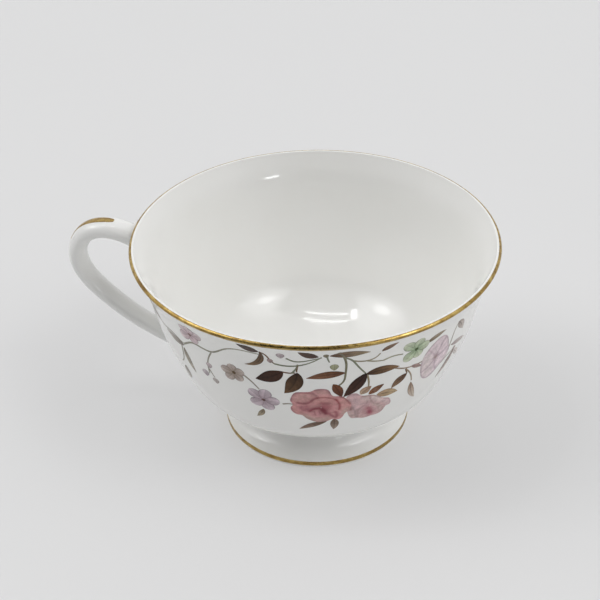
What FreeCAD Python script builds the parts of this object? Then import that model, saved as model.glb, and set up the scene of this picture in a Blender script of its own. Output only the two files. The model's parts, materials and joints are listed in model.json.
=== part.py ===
import FreeCAD, Part
import math
import os

# Footed porcelain teacup with a loop handle, gilded lines and printed flower transfers.
# Millimetres and degrees. The origin is the centre of the foot's resting plane, +Z is up,
# and the handle points along -X. Azimuth is measured about +Z from +X.

Vector = FreeCAD.Vector
UP = Vector(0, 0, 1)
ORIGIN = Vector(0, 0, 0)

# Driving dimensions
RIM_RADIUS = 48.9
HEIGHT = 57.5
FOOT_RADIUS = 25.8
WALL_AT_BASE = 3.4
WALL_AT_LIP = 1.3
LIP_POINTS = 9
GOLD_THICKNESS = 0.1
TRANSFER_THICKNESS = 0.1

# Outside of the bowl, radius and height, from the pole under the bowl up to the lip
BOWL_OUTLINE = [
    (0.0, 4.6),
    (12.0, 5.9),
    (21.5, 9.6),
    (29.2, 13.9),
    (34.6, 18.7),
    (38.2, 25.6),
    (41.6, 34.0),
    (44.4, 44.5),
    (46.6, 52.4),
    (RIM_RADIUS, HEIGHT - 0.6),
]

# Foot: a flared ring stuck to the underside of the bowl
FOOT_NECK_RADIUS = 20.6
FOOT_TOP = 12.0
FOOT_EDGE_HEIGHT = 2.3
FOOT_REST_RADII = (23.6, 25.1)
FOOT_RECESS_RADIUS = 18.0
# Face of the slip seam above the foot: low tip, hollow and high tip, radius and height
FOOT_SEAM_FACE = [(21.1, 7.8), (21.4, 9.3), (22.9, 10.2)]
FOOT_SEAM_ROOT_RADIUS = 19.6

# Handle: centre line in the XZ plane, as distance out from the cup's axis and height
HANDLE_LINE = [
    (40.5, 51.3),
    (47.0, 52.7),
    (54.3, 55.2),
    (62.2, 54.1),
    (66.1, 46.8),
    (64.2, 40.3),
    (59.0, 34.2),
    (52.3, 28.4),
    (45.2, 23.8),
    (39.4, 21.0),
    (33.0, 19.4),
]
HANDLE_THICKNESS = (5.4, 4.2)
HANDLE_WIDTH = (7.4, 6.2)
HANDLE_END_GROWTH = 1.5
COLLAR_SKIN = 0.08
COLLAR_FLARE = 1.44
COLLAR_LENGTH = 2.2
COLLAR_ROOT_DEPTH = 3.0

# Gilding
RIM_GOLD_DEPTH = 1.15
RIM_GOLD_OVER_LIP = 0.65
FOOT_GOLD_HEIGHTS = (0.85, 2.15)
# Stroke on the handle, seen from above: X of its tail, its widest place and its head
GOLD_STROKE_AT = (-67.8, -60.0, -54.8)
GOLD_STROKE_WIDTH = 2.3
GOLD_STROKE_HEAD_WIDTH = 1.66
GOLD_STROKE_LOWEST = 50.0
GOLD_STROKE_HIGHEST = 62.0
GOLD_STROKE_SHARES = (0.06, 0.7)

# Printed transfers: one garland, applied twice, half a turn apart
GARLAND_TURNS = {"front_garland_transfer": 1, "back_garland_transfer": 181}
GARLAND_HEIGHTS = (16.0, 55.8)
GARLAND_AZIMUTHS = (-172, -8)
MOTIF_CUT_DEPTH = 4.0
# azimuth, height, radius, lobes
ROSES = [
    (-80, 33.9, 7.2, 8),
    (-62, 30.9, 5.4, 7),
]
BLOSSOMS = [
    (-99.5, 34.9, 4.2, 5),
    (-109, 43.1, 3.3, 5),
    (-124.5, 49.9, 3.2, 5),
    (-38, 41.9, 5.4, 6),
    (-48.5, 48.9, 3.6, 5),
]
# stalk azimuth, stalk height, tip azimuth, tip height, width
LEAVES = [
    (-90, 46.3, -101, 42.3, 3.6),
    (-87.2, 47.3, -92, 38.9, 2.8),
    (-72, 46.5, -84, 44.9, 2.3),
    (-65.5, 45.1, -72, 37.5, 3.4),
    (-75.8, 42.7, -73, 37.3, 2.4),
    (-77.6, 52.9, -65.5, 52.7, 2.6),
    (-65.2, 44.9, -53.8, 44.7, 2.6),
    (-61.5, 37.3, -52.3, 33.1, 2.8),
    (-50.2, 41.1, -55.2, 36.9, 2.3),
    (-47.2, 36.7, -41.6, 27.9, 1.8),
    (-44.6, 49.5, -36.8, 50.7, 1.8),
    (-30.2, 42.3, -20, 40.1, 1.7),
    (-27, 39.5, -32.4, 31.5, 2.2),
    (-29.8, 50.3, -24.6, 45.3, 2.2),
    (-77.5, 26.9, -88, 23.1, 2),
    (-74.8, 27.7, -74.6, 22.7, 2.2),
    (-100.5, 30.5, -104.4, 26.3, 1.6),
    (-98.4, 52.5, -103.4, 47.5, 1.8),
    (-129.4, 44.8, -139, 45.7, 2.1),
    (-130, 43.5, -128, 35.5, 1.7),
    (-134.8, 35.3, -138.4, 29.5, 2.2),
]
# azimuth, height, diameter
BUDS = [
    (-121.4, 38.3, 2.2),
    (-118.6, 42.1, 2),
    (-117.6, 36.6, 2.2),
    (-91.5, 52.7, 1.8),
    (-75.6, 48.9, 2),
    (-95.2, 50.9, 1.6),
    (-63, 38.5, 3),
]


def at(radius, height):
    """A point in the half-plane y = 0, x > 0."""
    return Vector(radius, 0, height)


def smooth(points, first=None, last=None):
    """A smooth curve through the points, with a set direction at either end."""
    curve = Part.BSplineCurve()
    if first and last:
        curve.interpolate(Points=points, InitialTangent=first, FinalTangent=last)
    else:
        curve.interpolate(Points=points)
    return curve


def line(a, b):
    return Part.LineSegment(a, b).toShape()


def arc(a, b, c):
    return Part.Arc(a, b, c).toShape()


def face_of(edges):
    return Part.Face(Part.Wire(Part.__sortEdges__(edges)))


def between(pair, share):
    return pair[0] + (pair[1] - pair[0]) * share


def turned(face, start=0, sweep=360):
    """The solid that a face in the XZ plane makes when it turns about the cup's axis."""
    placed = face.copy()
    placed.rotate(ORIGIN, UP, start)
    return placed.revolve(ORIGIN, UP, sweep)


def largest(shape):
    return max(shape.Solids, key=lambda solid: solid.Volume)


OUTLINE = smooth([at(*p) for p in BOWL_OUTLINE], Vector(1, 0, 0), Vector(0.5, 0, 1))


def outward(parameter, curve=OUTLINE):
    """The cup's outward normal at a place on its outline or its lip."""
    along = curve.tangent(parameter)[0]
    return Vector(along.z, 0, -along.x)


def outline_at_height(height):
    """The outline's parameter at a height above the foot."""
    low, high = OUTLINE.FirstParameter, OUTLINE.LastParameter
    for _ in range(40):
        middle = (low + high) / 2
        if OUTLINE.value(middle).z < height:
            low = middle
        else:
            high = middle
    return (low + high) / 2


def offset_points(distance, first, last, count, curve=OUTLINE):
    """The outline or the lip moved out by a distance, between two parameters."""
    steps = [first + (last - first) * i / (count - 1) for i in range(count)]
    return [curve.value(s) + outward(s, curve) * distance for s in steps]


def wall(parameter):
    """Wall thickness, from the base to the lip."""
    share = OUTLINE.value(parameter).z / HEIGHT
    return WALL_AT_BASE + (WALL_AT_LIP - WALL_AT_BASE) * min(1.0, share)


def bowl_inside():
    """The bowl's inner line, from the pole up to the lip."""
    places = [OUTLINE.parameter(at(*p)) for p in BOWL_OUTLINE]
    points = [OUTLINE.value(s) - outward(s) * wall(s) for s in places]
    points[0] = at(0, points[0].z)
    return smooth(points, Vector(1, 0, 0), Vector(0.5, 0, 1))


def lip():
    """Round top of the wall, from its outside to its inside."""
    outer_top, inner_top = OUTLINE.EndPoint, bowl_inside().EndPoint
    crown = at((outer_top.x + inner_top.x) / 2, HEIGHT)
    return smooth(arc(outer_top, crown, inner_top).discretize(LIP_POINTS))


def bowl():
    inside = bowl_inside()
    section = [
        OUTLINE.toShape(),
        lip().toShape(),
        inside.toShape(),
        line(inside.StartPoint, OUTLINE.StartPoint),
    ]
    return turned(face_of(section))


def bowl_filled():
    """The bowl as if it were full, for trimming what is stuck to it."""
    top = at(0, HEIGHT)
    end = OUTLINE.EndPoint
    edges = [OUTLINE.toShape(), line(end, at(end.x, HEIGHT)), line(at(end.x, HEIGHT), top)]
    return turned(face_of(edges + [line(top, OUTLINE.StartPoint)]))


def foot_flare():
    """Outer side of the foot: hollow flare from the neck to the edge band."""
    waist = at(FOOT_NECK_RADIUS + 0.9, 5.6)
    return arc(at(FOOT_NECK_RADIUS, FOOT_TOP), waist, at(FOOT_RADIUS, FOOT_EDGE_HEIGHT))


def foot_recess(recess_low):
    """Inner side of the foot, hollowed to match the flare outside."""
    waist = at(FOOT_RECESS_RADIUS + 1.7, 4.6)
    return smooth([recess_low, waist, at(FOOT_RECESS_RADIUS, FOOT_TOP)]).toShape()


def foot_ring(filled):
    low, high = FOOT_REST_RADII
    edge_low = at(FOOT_RADIUS, FOOT_RADIUS - high)
    rest_out, rest_in = at(high, 0), at(low, 0)
    bevel = arc(edge_low, at(FOOT_RADIUS - 0.2, 0.2), rest_out)
    recess_low = at(low - 0.5, 0.6)
    edges = [
        foot_flare(),
        line(at(FOOT_RADIUS, FOOT_EDGE_HEIGHT), edge_low),
        bevel,
        line(rest_out, rest_in),
        line(rest_in, recess_low),
        foot_recess(recess_low),
        line(at(FOOT_RECESS_RADIUS, FOOT_TOP), at(FOOT_NECK_RADIUS, FOOT_TOP)),
    ]
    return largest(turned(face_of(edges)).cut(filled))


def foot_slip_seam(filled, foot):
    """Slip smoothed into the corner where the foot meets the bowl."""
    low, hollow, high = [at(*p) for p in FOOT_SEAM_FACE]
    root_low, root_high = at(FOOT_SEAM_ROOT_RADIUS, low.z), at(FOOT_SEAM_ROOT_RADIUS, high.z)
    face = face_of([
        line(root_high, root_low),
        line(root_low, low),
        arc(low, hollow, high),
        line(high, root_high),
    ])
    return largest(turned(face).cut(filled).cut(foot))


HANDLE_CURVE = smooth([Vector(-out, 0, height) for out, height in HANDLE_LINE])


def handle_section(parameter, grow):
    """An oval across the handle's centre line, stouter above than below and at both ends."""
    centre = HANDLE_CURVE.value(parameter)
    along = HANDLE_CURVE.tangent(parameter)[0]
    first, last = HANDLE_CURVE.FirstParameter, HANDLE_CURVE.LastParameter
    share = (parameter - first) / (last - first)
    ends = abs(2 * share - 1) ** 8 * HANDLE_END_GROWTH
    half_width = (between(HANDLE_WIDTH, share) + ends) / 2 + grow
    half_thickness = (between(HANDLE_THICKNESS, share) + ends) / 2 + grow
    across = along.cross(Vector(0, 1, 0)).normalize()
    oval = Part.Ellipse(ORIGIN, half_width, half_thickness).toShape()
    axes = FreeCAD.Rotation(Vector(0, 1, 0), across, along, "XYZ")
    oval.Placement = FreeCAD.Placement(centre, axes)
    return Part.Wire(oval)


def handle_loft(grow, share_from=0.0, share_to=1.0, count=25):
    first, last = HANDLE_CURVE.FirstParameter, HANDLE_CURVE.LastParameter
    sections = []
    for i in range(count):
        share = share_from + (share_to - share_from) * i / (count - 1)
        extra = grow(share) if callable(grow) else grow
        sections.append(handle_section(first + (last - first) * share, extra))
    return Part.makeLoft(sections, True, False)


def handle(filled):
    return largest(handle_loft(0.0).cut(filled))


def collar(filled, grip, upper):
    """A ring of slip round one end of the handle, fading out along it."""
    first, last = HANDLE_CURVE.FirstParameter, HANDLE_CURVE.LastParameter
    count = 400
    shares = [i / count for i in range(count + 1)]
    if not upper:
        shares.reverse()
    points = [(s, HANDLE_CURVE.value(first + (last - first) * s)) for s in shares]
    start = next(s for s, p in points if not filled.isInside(p, 0.01, True))
    length = HANDLE_CURVE.length()
    sign = 1 if upper else -1
    root = start - sign * COLLAR_ROOT_DEPTH / length
    end = start + sign * COLLAR_LENGTH / length

    def flare(share):
        run = abs(share - end) / abs(root - end)
        return COLLAR_SKIN + COLLAR_FLARE * run * run

    sleeve = handle_loft(flare, root, end, 7)
    return largest(sleeve.cut(filled).cut(grip))


def rim_gilding():
    """Gold down the outside of the rim and over the outer part of the lip."""
    low, high = outline_at_height(HEIGHT - RIM_GOLD_DEPTH), OUTLINE.LastParameter
    outside = offset_points(GOLD_THICKNESS, low, high, 5)
    over = lip()
    start = over.FirstParameter
    edge = start + (over.LastParameter - start) * RIM_GOLD_OVER_LIP
    above = offset_points(GOLD_THICKNESS, start, edge, 5, over)
    section = [
        OUTLINE.toShape(low, high),
        over.toShape(start, edge),
        line(over.value(edge), above[-1]),
        smooth(above).toShape(),
        line(above[0], outside[-1]),
        smooth(outside).toShape(),
        line(outside[0], OUTLINE.value(low)),
    ]
    return turned(face_of(section))


def foot_gilding(foot):
    low, high = FOOT_GOLD_HEIGHTS
    out, inside = FOOT_RADIUS + GOLD_THICKNESS, FOOT_RADIUS - 1
    corners = [at(inside, low), at(out, low), at(out, high), at(inside, high), at(inside, low)]
    ring = turned(Part.Face(Part.makePolygon(corners)))
    return largest(ring.cut(foot))


def handle_gilding(grip):
    """A brush stroke of gold along the top of the loop, thin at its outer end."""
    skin = handle_loft(GOLD_THICKNESS, *GOLD_STROKE_SHARES).cut(grip)
    tail_x, widest_x, head_x = GOLD_STROKE_AT
    base = GOLD_STROKE_LOWEST
    tail = Vector(tail_x, 0, base)
    head = [Vector(head_x, side * GOLD_STROKE_HEAD_WIDTH / 2, base) for side in (-1, 1)]
    flank = [Vector(widest_x, side * GOLD_STROKE_WIDTH / 2, base) for side in (-1, 1)]
    tip = Vector(head_x + GOLD_STROKE_HEAD_WIDTH / 2, 0, base)
    outline = [arc(tail, flank[0], head[0]), arc(head[0], tip, head[1]), arc(head[1], flank[1], tail)]
    stroke = face_of(outline).extrude(UP * (GOLD_STROKE_HIGHEST - base))
    return largest(skin.common(stroke))


def surface_point(azimuth, height):
    turn = FreeCAD.Rotation(UP, azimuth)
    place = outline_at_height(height)
    return turn.multVec(OUTLINE.value(place)), turn.multVec(outward(place))


class Spot:
    """A flat drawing plane touching the bowl at an azimuth and a height."""

    def __init__(self, azimuth, height):
        self.centre, self.normal = surface_point(azimuth, height)
        self.east = UP.cross(self.normal).normalize()
        self.north = self.normal.cross(self.east)

    def point(self, x, y):
        return self.centre + self.east * x + self.north * y

    def drop(self, azimuth, height):
        """Where a place on the bowl falls on this plane."""
        away = surface_point(azimuth, height)[0] - self.centre
        return self.point(away.dot(self.east), away.dot(self.north))

    def prism(self, edges):
        face = face_of(edges)
        face.translate(self.normal * -MOTIF_CUT_DEPTH)
        return face.extrude(self.normal * (2 * MOTIF_CUT_DEPTH))


def leaf(azimuth, height, tip_azimuth, tip_height, width):
    spot = Spot((azimuth + tip_azimuth) / 2, (height + tip_height) / 2)
    stalk, tip = spot.drop(azimuth, height), spot.drop(tip_azimuth, tip_height)
    side = spot.normal.cross(tip - stalk).normalize() * (width / 2)
    middle = (stalk + tip) / 2
    return spot.prism([arc(stalk, middle + side, tip), arc(tip, middle - side, stalk)])


def flower(azimuth, height, radius, lobes):
    """A scalloped outline, one arc per petal."""
    spot = Spot(azimuth, height)
    valley = radius * 0.82

    def around(step, distance):
        angle = 2 * math.pi * step / lobes
        return spot.point(distance * math.sin(angle), distance * math.cos(angle))

    petals = []
    for i in range(lobes):
        petals.append(arc(around(i - 0.5, valley), around(i, radius), around(i + 0.5, valley)))
    return spot.prism(petals)


def bud(azimuth, height, diameter):
    spot = Spot(azimuth, height)
    ring = Part.Circle(spot.centre, spot.normal, diameter / 2).toShape()
    return spot.prism([ring])


def garland():
    """Every printed motif of one transfer, as a separate thin solid on the bowl."""
    low, high = [outline_at_height(h) for h in GARLAND_HEIGHTS]
    over = smooth(offset_points(TRANSFER_THICKNESS, low, high, 12))
    start, end = GARLAND_AZIMUTHS
    band = face_of([
        OUTLINE.toShape(low, high),
        over.toShape(),
        line(OUTLINE.value(low), over.StartPoint),
        line(OUTLINE.value(high), over.EndPoint),
    ])
    film = turned(band, start, end - start)
    outlines = [flower(*f) for f in ROSES + BLOSSOMS] + [bud(*b) for b in BUDS]
    outlines += [leaf(*l) for l in LEAVES]
    motifs = []
    for i, outline in enumerate(outlines):
        motif = film.common(outline)
        for other in outlines[:i]:
            if other.BoundBox.intersect(motif.BoundBox):
                motif = motif.cut(other)
        motifs.append(largest(motif))
    return Part.makeCompound(motifs)


def main():
    os.makedirs("parts", exist_ok=True)
    filled = bowl_filled()
    cup = bowl()
    foot = foot_ring(filled)
    grip = handle(filled)
    print_once = garland()
    nodes = {
        "bowl": cup,
        "foot_ring": foot,
        "foot_slip_seam": foot_slip_seam(filled, foot),
        "handle": grip,
        "upper_handle_slip": collar(filled, grip, True),
        "lower_handle_slip": collar(filled, grip, False),
        "rim_gilding": rim_gilding(),
        "foot_gilding": foot_gilding(foot),
        "handle_gilding": handle_gilding(grip),
    }
    for name, turn in GARLAND_TURNS.items():
        nodes[name] = print_once.copy()
        nodes[name].rotate(ORIGIN, UP, turn)
    for name, shape in nodes.items():
        shape.exportStep(f"parts/{name}.step")
        box = shape.BoundBox
        print(f"{name}: {len(shape.Solids)} solids, valid {shape.isValid()}, {shape.Volume:.1f} mm3,"
              f" z {box.ZMin:.2f} to {box.ZMax:.2f}")


main()
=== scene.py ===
import json
import math

import bmesh
import bpy
import numpy as np
from mathutils import Matrix, Vector

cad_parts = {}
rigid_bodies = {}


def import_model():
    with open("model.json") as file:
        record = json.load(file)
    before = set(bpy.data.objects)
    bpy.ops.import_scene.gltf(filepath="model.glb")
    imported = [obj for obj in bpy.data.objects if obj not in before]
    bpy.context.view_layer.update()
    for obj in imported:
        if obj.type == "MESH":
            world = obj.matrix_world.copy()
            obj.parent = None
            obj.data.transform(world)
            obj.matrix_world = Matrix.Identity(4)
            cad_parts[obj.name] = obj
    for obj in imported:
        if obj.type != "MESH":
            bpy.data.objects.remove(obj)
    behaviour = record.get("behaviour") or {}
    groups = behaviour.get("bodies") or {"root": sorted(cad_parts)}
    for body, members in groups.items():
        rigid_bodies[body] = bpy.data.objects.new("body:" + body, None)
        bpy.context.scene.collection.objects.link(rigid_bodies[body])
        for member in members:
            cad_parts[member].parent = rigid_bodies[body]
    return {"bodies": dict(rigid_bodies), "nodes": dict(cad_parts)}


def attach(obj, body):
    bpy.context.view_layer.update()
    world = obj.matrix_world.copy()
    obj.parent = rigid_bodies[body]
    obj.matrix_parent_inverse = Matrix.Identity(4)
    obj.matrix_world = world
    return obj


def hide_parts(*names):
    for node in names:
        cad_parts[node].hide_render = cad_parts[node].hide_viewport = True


# Footed porcelain teacup: glazed bowl, foot and loop handle, gilded lines, and a printed
# garland of roses on the front and on the back. Shapes are worked out in millimetres and
# degrees and become metres when a mesh is made. The handle points along -X, and azimuth is
# measured about +Z from +X.

MM = 0.001

# The cup's outside, radius and height, from the pole under the bowl up to the lip
RIM_RADIUS, HEIGHT = 48.9, 57.5
LIP_DROP = 0.6  # from the top of the lip down to where its rounding starts
BOWL_OUTLINE = [
    (0.0, 4.6), (12.0, 5.9), (21.5, 9.6), (29.2, 13.9), (34.6, 18.7), (38.2, 25.6),
    (41.6, 34.0), (44.4, 44.5), (46.6, 52.4), (RIM_RADIUS, HEIGHT - LIP_DROP),
]
WALL_AT_BASE, WALL_AT_LIP = 3.4, 1.3
TURNS = 256  # segments round the cup
SHARP_ANGLE = 38  # edges bent by more than this stay crisp

# Foot, as radii and heights: the arc of its flare, its bevel, its resting ring, the hollow
# underneath, and the slip seam
FOOT_RADIUS, FOOT_EDGE_HEIGHT = 25.8, 2.3
FOOT_NECK, FOOT_WAIST, FLARE_TOP = (20.6, 12.0), (21.5, 5.6), 9.2
FOOT_BEVEL_START, FOOT_BEVEL_MIDDLE = (FOOT_RADIUS, 0.7), (FOOT_RADIUS - 0.2, 0.2)
FOOT_REST = [(25.1, 0.0), (24.6, 0.0), (24.0, 0.0), (23.6, 0.0), (23.3, 0.25), (23.1, 0.6)]
FOOT_RECESS = [FOOT_REST[-1], (19.7, 4.6), (18.0, 9.6)]
SEAM_LOW, SEAM_CORNER, SEAM_HIGH = (20.85, 7.9), (20.75, 9.35), (23.4, 10.55)
SEAM_BACK = [(22.2, 10.6), (19.8, 9.3), (20.0, 7.9)]  # buried in the bowl and the foot

# Handle: centre line as distance out from the axis and height, then sizes from top to bottom
HANDLE_LINE = [
    (40.5, 51.3), (47.0, 52.7), (54.3, 55.2), (62.2, 54.1), (66.1, 46.8), (64.2, 40.3),
    (59.0, 34.2), (52.3, 28.4), (45.2, 23.8), (39.4, 21.0), (33.0, 19.4),
]
HANDLE_THICKNESS, HANDLE_WIDTH, HANDLE_END_GROWTH = (5.4, 4.2), (7.4, 6.2), 1.5
SLIP_REACH = (1.7, 2.1)  # how far each slip fillet spreads, upper and lower
HANDLE_TUCK, SLIP_TUCK = 0.3, 0.35  # how far the loop and its slips reach under the surfaces

# Gilding: how far it stands up, how far down the rim and over the lip it goes, and its heights
# and depth on the foot's edge
GOLD_LIFT = 0.08
RIM_GOLD_DEPTH, RIM_GOLD_OVER_LIP = 1.15, 0.65
FOOT_GOLD_HEIGHTS, FOOT_GOLD_DEPTH = (0.85, 2.15), 0.3
# Gold stroke on top of the handle: distance out from the axis and half its width
GOLD_STROKE = [
    (67.7, 0.04), (66.6, 0.3), (65.0, 0.68), (62.6, 1.02), (60.0, 1.14), (57.4, 1.1),
    (55.9, 0.94), (55.2, 0.72), (54.9, 0.42), (54.8, 0.06),
]

# Print: the lowest layer's lift off the bowl, the step between layers, the reach into the bowl,
# and how far each side's spray is turned about the axis
FILM_LIFT, FILM_STEP, FILM_LAYERS, FILM_DEPTH = 0.03, 0.006, 5, 0.03
BLOOM_RINGS, BLOOM_SPOKES = 44, 168
GARLAND_TURNS = {"front": 1, "back": 181}

# Surfaces, as linear light
GLAZE_LIGHT, GLAZE_SHADE = (0.87, 0.867, 0.845), (0.85, 0.847, 0.82)
# The handle's glaze is the bowl's porcelain painted a little darker, as painted shade on the loop
HANDLE_SHADED_GLAZE_LIGHT, HANDLE_SHADED_GLAZE_SHADE = (0.84, 0.84, 0.82), (0.81, 0.81, 0.79)
PIT_SIZE, PIT_COLOUR = 0.012, (0.42, 0.38, 0.33)
RIM_GOLD_BRIGHT, RIM_GOLD_DARK = (0.42, 0.29, 0.09), (0.25, 0.155, 0.05)
STROKE_GOLD_BRIGHT, STROKE_GOLD_DARK = (0.44, 0.30, 0.10), (0.22, 0.13, 0.045)
GOLD_SHINE = (0.62, 0.46, 0.17)  # where any of the gold is thickest
GLAZE_IOR, INK_IOR = 1.56, 1.22
PAPER_DARK, PAPER_LIGHT, PAPER_GLOW = (0.45,) * 3, (0.46,) * 3, 0.6

# Camera: aimed at the rim's centre, then panned, tilted and rolled a little
CAMERA_TARGET = (0.0, 0.0, 57.48)
CAMERA_DISTANCE, CAMERA_AZIMUTH, CAMERA_ELEVATION = 369.4, 10.0, 31.89
CAMERA_PAN, CAMERA_TILT, CAMERA_ROLL = 0.64, -2.534, 0.814
LENS, SENSOR = 84.0, 36.0

# Studio: directions from the cup, metres, and radiances in watts per square metre and steradian
FLOOR_REACH = 3.0
ROOM_BRIGHT, ROOM_DIM = (0.785, 0.785, 0.795), (0.15, 0.15, 0.155)
DIM_FROM, DIM_TO = 0.2, 0.8  # how far toward the camera side the room is still bright, then dim
# A dark shape stands there: its colour, then the soft edges of its sides, back and low end
PERSON = (0.05, 0.05, 0.05)
PERSON_LEFT, PERSON_RIGHT = (-0.42, -0.36), (0.46, 0.36)
PERSON_BACK, PERSON_LOW = (0.04, -0.04), (0.06, 0.16)
# Two round lights: direction, then each soft disc's rim and core as cosines, and its radiance
UMBRELLAS = [
    ((-0.642, -0.12, 0.757), ((0.90, 0.985, 1.8), (0.988, 0.999, 3.6))),
    ((0.600, -0.20, 0.775), ((0.89, 0.98, 1.8), (0.988, 0.999, 3.6))),
]
LAMP_DISTANCE, LAMP_RADIANCE = 1.5, 10.0
# name, direction, width and height
LAMPS = [
    ("tube_1", (-0.10, -0.07, 1.0), (0.60, 0.03)),
    ("tube_2", (-0.10, 0.01, 1.0), (0.60, 0.03)),
    ("window_1", (-0.345, -0.06, 0.935), (0.10, 0.20)),
    ("window_2", (0.60, -0.745, 0.28), (0.24, 0.08)),
]


# ---------------- curves and surfaces

def unit(vectors):
    return vectors / np.linalg.norm(vectors, axis=-1, keepdims=True)


class Curve:
    """A smooth curve through points, timed by the distance between them."""

    def __init__(self, points, first=None, last=None, closed=False):
        p = np.array(points, float)
        if closed:
            p = np.vstack([p[-3:], p, p[:3]])
        gap = np.linalg.norm(np.diff(p, axis=0), axis=1)
        n = len(p)
        left, right = np.eye(n), np.zeros_like(p)
        for i in range(1, n - 1):
            left[i, i - 1:i + 2] = gap[i], 2 * (gap[i - 1] + gap[i]), gap[i - 1]
            right[i] = 3 * (gap[i] * (p[i] - p[i - 1]) / gap[i - 1]
                            + gap[i - 1] * (p[i + 1] - p[i]) / gap[i])
        for end, inner, given in ((0, 1, first), (n - 1, n - 2, last)):
            if given is None:
                left[end, end], left[end, inner] = 2, 1
                right[end] = 3 * (p[max(end, inner)] - p[min(end, inner)]) / gap[min(end, inner)]
            else:
                right[end] = unit(np.array(given, float))
        self.points, self.slopes, self.gap = p, np.linalg.solve(left, right), gap
        self.knots = np.concatenate([[0], np.cumsum(gap)])
        self.ends = (self.knots[3], self.knots[n - 3]) if closed else (0.0, self.knots[-1])

    def at(self, share):
        """Points at shares 0 to 1 of the curve."""
        start, end = self.ends
        t = start + (end - start) * np.asarray(share, float)
        i = np.clip(np.searchsorted(self.knots, t) - 1, 0, len(self.gap) - 1)
        h = self.gap[i][..., None]
        u = ((t - self.knots[i])[..., None]) / h
        return ((1 + 2 * u) * (1 - u) ** 2 * self.points[i] + u * (1 - u) ** 2 * h * self.slopes[i]
                + u * u * (3 - 2 * u) * self.points[i + 1]
                + u * u * (u - 1) * h * self.slopes[i + 1])

    def along(self, share):
        """Unit tangents at shares 0 to 1."""
        step = 1e-4
        return unit(self.at(np.minimum(share + step, 1)) - self.at(np.maximum(share - step, 0)))


def outward(along):
    """The normal on the right of a radius and height direction."""
    return np.stack([along[..., 1], -along[..., 0]], -1)


OUTLINE = Curve(BOWL_OUTLINE, (1, 0), (0.5, 1))
SKIN_SHARES = np.linspace(0, 1, 1600)
SKIN = OUTLINE.at(SKIN_SHARES)
SKIN_ALONG = OUTLINE.along(SKIN_SHARES)
SKIN_OUT = outward(SKIN_ALONG)


def spot(azimuth, height):
    """Where a place on the bowl is, from its azimuth and height."""
    a = np.radians(np.asarray(azimuth, float))
    radius = np.interp(height, SKIN[:, 1], SKIN[:, 0])
    return np.stack([radius * np.cos(a), radius * np.sin(a), height + 0 * a], -1)


def nearest(points):
    """The skin's nearest radius and height to each point, its normal, and how far out it is."""
    points = np.asarray(points, float)
    flat = np.stack([np.hypot(points[..., 0], points[..., 1]), points[..., 2]], -1)
    shape, flat = flat.shape, flat.reshape(-1, 2)
    pick = np.empty(len(flat), int)
    batch = 2000  # keeps the table of distances small
    for start in range(0, len(flat), batch):
        part = flat[start:start + batch]
        pick[start:start + batch] = ((part[:, None] - SKIN[None]) ** 2).sum(-1).argmin(1)
    run = ((flat - SKIN[pick]) * SKIN_ALONG[pick]).sum(-1)
    place = SKIN[pick] + SKIN_ALONG[pick] * run[:, None]
    normal = unit(np.stack([np.interp(place[:, 1], SKIN[:, 1], SKIN_OUT[:, i]) for i in (0, 1)], -1))
    out = ((flat - place) * normal).sum(-1)
    return place.reshape(shape), normal.reshape(shape), out.reshape(shape[:-1])


def turned(flat, points):
    """A radius and height, set at the azimuth of each point."""
    turn = np.arctan2(points[..., 1], points[..., 0])
    return np.stack([flat[..., 0] * np.cos(turn), flat[..., 0] * np.sin(turn), flat[..., 1]], -1)


def hug(points, lift):
    """Points moved onto the outside of the bowl, lifted off it by a distance."""
    place, normal = nearest(points)[:2]
    return turned(place + normal * lift, points)


def skin_normal(points):
    """The bowl's outward normal beside each point."""
    return turned(nearest(points)[1], points)


# ---------------- meshes

def quads(rows, cols, wrap_rows, wrap_cols, first=0):
    """Faces of a grid of vertices."""
    i = np.arange(rows if wrap_rows else rows - 1)[:, None]
    j = np.arange(cols if wrap_cols else cols - 1)[None]
    up, right = (i + 1) % rows, (j + 1) % cols
    corners = [i * cols + j, i * cols + right, up * cols + right, up * cols + j]
    return (np.stack(np.broadcast_arrays(*corners), -1).reshape(-1, 4) + first).tolist()


def piece_from(name, vertices, faces, material, nodes, colours=None):
    """A smooth closed mesh that stands for CAD nodes."""
    mesh = bpy.data.meshes.new(name)
    mesh.from_pydata((np.asarray(vertices) * MM).tolist(), [], faces)
    if colours is not None:
        ink = mesh.attributes.new("ink", "FLOAT_COLOR", "POINT")
        ink.data.foreach_set("color", np.asarray(colours, np.float32).ravel())
    work = bmesh.new()
    work.from_mesh(mesh)
    bmesh.ops.recalc_face_normals(work, faces=work.faces)
    work.to_mesh(mesh)
    work.free()
    mesh.shade_smooth()
    mesh.set_sharp_from_angle(angle=math.radians(SHARP_ANGLE))
    mesh.materials.append(material)
    piece = bpy.data.objects.new(name, mesh)
    bpy.context.scene.collection.objects.link(piece)
    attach(piece, "root")
    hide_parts(*nodes)
    return piece


def hoop(name, rings, material, nodes, closed):
    """Rings of points joined into a ring-shaped solid, or a tube with both ends capped."""
    rings = np.asarray(rings)
    rows, cols = rings.shape[:2]
    vertices = rings.reshape(-1, 3)
    faces = quads(rows, cols, closed, True)
    if not closed:
        ends = [rings[0].mean(0), rings[-1].mean(0)]
        vertices = np.vstack([vertices, ends])
        last = (rows - 1) * cols
        for j in range(cols):
            k = (j + 1) % cols
            faces.append([rows * cols, k, j])
            faces.append([rows * cols + 1, last + j, last + k])
    return piece_from(name, vertices, faces, material, nodes)


def lathe(name, line, material, nodes, closed):
    """A line of radii and heights turned about the cup's axis."""
    line = np.asarray(line)
    turn = np.arange(TURNS) * 2 * math.pi / TURNS
    radius, height = line[:, :1], line[:, 1:]
    rings = np.stack([radius * np.cos(turn), radius * np.sin(turn), height + 0 * turn], -1)
    return hoop(name, rings, material, nodes, closed)


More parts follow.
